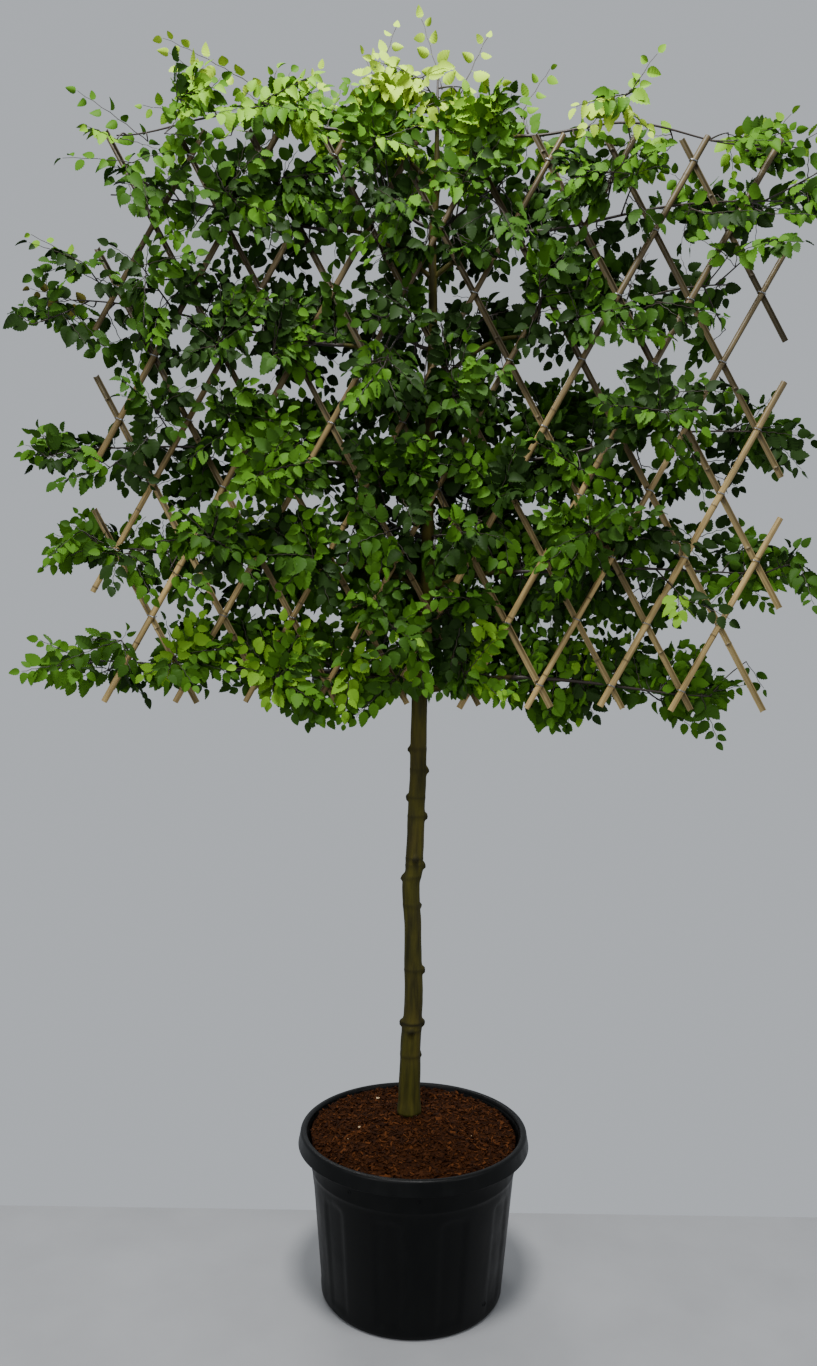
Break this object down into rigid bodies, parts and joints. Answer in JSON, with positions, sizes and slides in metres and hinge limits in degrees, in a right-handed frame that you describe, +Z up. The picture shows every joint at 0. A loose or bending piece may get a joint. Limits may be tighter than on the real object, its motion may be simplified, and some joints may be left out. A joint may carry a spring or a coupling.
{
  "type": "potted espaliered hornbeam tree",
  "caption": "European hornbeam in a nursery pot, its crown trained flat in tiers on a lattice of split bamboo above a clear stem.",
  "frame": {"origin": "centre of the pot's flat underside", "axes": "+Z up along the trunk, +X along the flat crown to the right as seen from the front, -Y to the front, the side of the lattice that faces the viewer"},
  "size_m": [2.326, 0.65, 3.602],
  "materials": {
    "pot": "black moulded plastic, semi-gloss",
    "mulch": "coarse reddish-brown bark mulch",
    "bark": "smooth olive-grey bark with healed pruning collars",
    "cane": "weathered split bamboo",
    "foliage": "fresh green leaves, satin"
  },
  "bodies": {
    "root": {"bough_left_1": "bark", "bough_left_2": "bark", "bough_left_3": "bark", "bough_left_4": "bark", "bough_left_5": "bark", "bough_left_6": "bark", "bough_right_1": "bark", "bough_right_2": "bark", "bough_right_3": "bark", "bough_right_4": "bark", "bough_right_5": "bark", "bough_right_6": "bark", "cane_back_1": "cane", "cane_back_10": "cane", "cane_back_11": "cane", "cane_back_12": "cane", "cane_back_2": "cane", "cane_back_3": "cane", "cane_back_4": "cane", "cane_back_5": "cane", "cane_back_6": "cane", "cane_back_7": "cane", "cane_back_8": "cane", "cane_back_9": "cane", "cane_front_1": "cane", "cane_front_10": "cane", "cane_front_11": "cane", "cane_front_12": "cane", "cane_front_2": "cane", "cane_front_3": "cane", "cane_front_4": "cane", "cane_front_5": "cane", "cane_front_6": "cane", "cane_front_7": "cane", "cane_front_8": "cane", "cane_front_9": "cane", "foliage_inner_left_1": "foliage", "foliage_inner_left_2": "foliage", "foliage_inner_left_3": "foliage", "foliage_inner_left_4": "foliage", "foliage_inner_right_1": "foliage", "foliage_inner_right_2": "foliage", "foliage_inner_right_3": "foliage", "foliage_inner_right_4": "foliage", "foliage_left_1": "foliage", "foliage_left_2": "foliage", "foliage_left_3": "foliage", "foliage_left_4": "foliage", "foliage_left_5": "foliage", "foliage_left_6": "foliage", "foliage_right_1": "foliage", "foliage_right_2": "foliage", "foliage_right_3": "foliage", "foliage_right_4": "foliage", "foliage_right_5": "foliage", "foliage_right_6": "foliage", "foliage_top": "foliage", "pot": "pot", "root_ball": "mulch", "trunk": "bark"}
  },
  "joints": []
}
